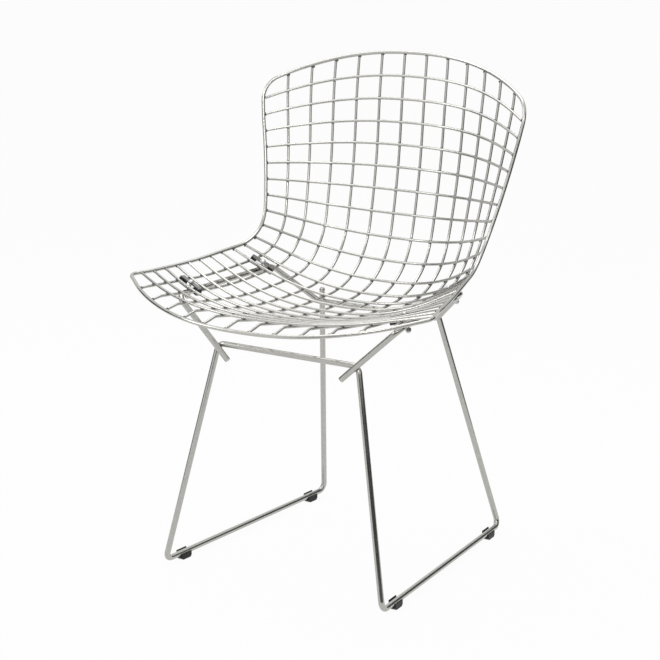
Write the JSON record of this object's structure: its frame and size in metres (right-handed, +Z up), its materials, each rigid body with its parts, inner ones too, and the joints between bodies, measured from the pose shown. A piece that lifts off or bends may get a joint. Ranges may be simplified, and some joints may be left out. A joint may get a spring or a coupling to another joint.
{
  "type": "wire mesh chair",
  "caption": "Dining chair with a bucket seat and back of crossed, welded chrome wires in a rod rim, held by clamps on a bent rod base with two floor runners.",
  "frame": {"origin": "on the floor, under the middle of the box that holds the whole chair", "axes": "+Z up, the front of the seat faces -Y, +X to the sitter's left, which is the right-hand side seen from the front"},
  "size_m": [0.5518, 0.537, 0.803],
  "materials": {
    "mesh_chrome": "polished chrome plate",
    "base_chrome": "polished chrome plate",
    "clamp_metal": "bright plate",
    "black_plastic": "black, slightly glossy"
  },
  "bodies": {
    "root": {"rim": "mesh_chrome", "lengthwise_wire_01": "mesh_chrome", "lengthwise_wire_02": "mesh_chrome", "lengthwise_wire_03": "mesh_chrome", "lengthwise_wire_04": "mesh_chrome", "lengthwise_wire_05": "mesh_chrome", "lengthwise_wire_06": "mesh_chrome", "lengthwise_wire_07": "mesh_chrome", "lengthwise_wire_08": "mesh_chrome", "lengthwise_wire_09": "mesh_chrome", "lengthwise_wire_10": "mesh_chrome", "lengthwise_wire_11": "mesh_chrome", "lengthwise_wire_12": "mesh_chrome", "crosswise_wire_01": "mesh_chrome", "crosswise_wire_02": "mesh_chrome", "crosswise_wire_03": "mesh_chrome", "crosswise_wire_04": "mesh_chrome", "crosswise_wire_05": "mesh_chrome", "crosswise_wire_06": "mesh_chrome", "crosswise_wire_07": "mesh_chrome", "crosswise_wire_08": "mesh_chrome", "crosswise_wire_09": "mesh_chrome", "crosswise_wire_10": "mesh_chrome", "crosswise_wire_11": "mesh_chrome", "crosswise_wire_12": "mesh_chrome", "crosswise_wire_13": "mesh_chrome", "crosswise_wire_14": "mesh_chrome", "crosswise_wire_15": "mesh_chrome", "crosswise_wire_16": "mesh_chrome", "crosswise_wire_17": "mesh_chrome", "crosswise_wire_18": "mesh_chrome", "crosswise_wire_19": "mesh_chrome", "crosswise_wire_20": "mesh_chrome", "leg_frame": "base_chrome", "seat_support": "base_chrome", "upper_plate_front_left": "clamp_metal", "lower_plate_front_left": "clamp_metal", "boots_front_left": "black_plastic", "upper_plate_rear_left": "clamp_metal", "lower_plate_rear_left": "clamp_metal", "boots_rear_left": "black_plastic", "upper_plate_front_right": "clamp_metal", "lower_plate_front_right": "clamp_metal", "boots_front_right": "black_plastic", "upper_plate_rear_right": "clamp_metal", "lower_plate_rear_right": "clamp_metal", "boots_rear_right": "black_plastic", "clamp_bolts": "clamp_metal", "clamp_nuts": "clamp_metal", "glide_front_left": "black_plastic", "glide_rear_left": "black_plastic", "glide_front_right": "black_plastic", "glide_rear_right": "black_plastic"}
  },
  "joints": []
}
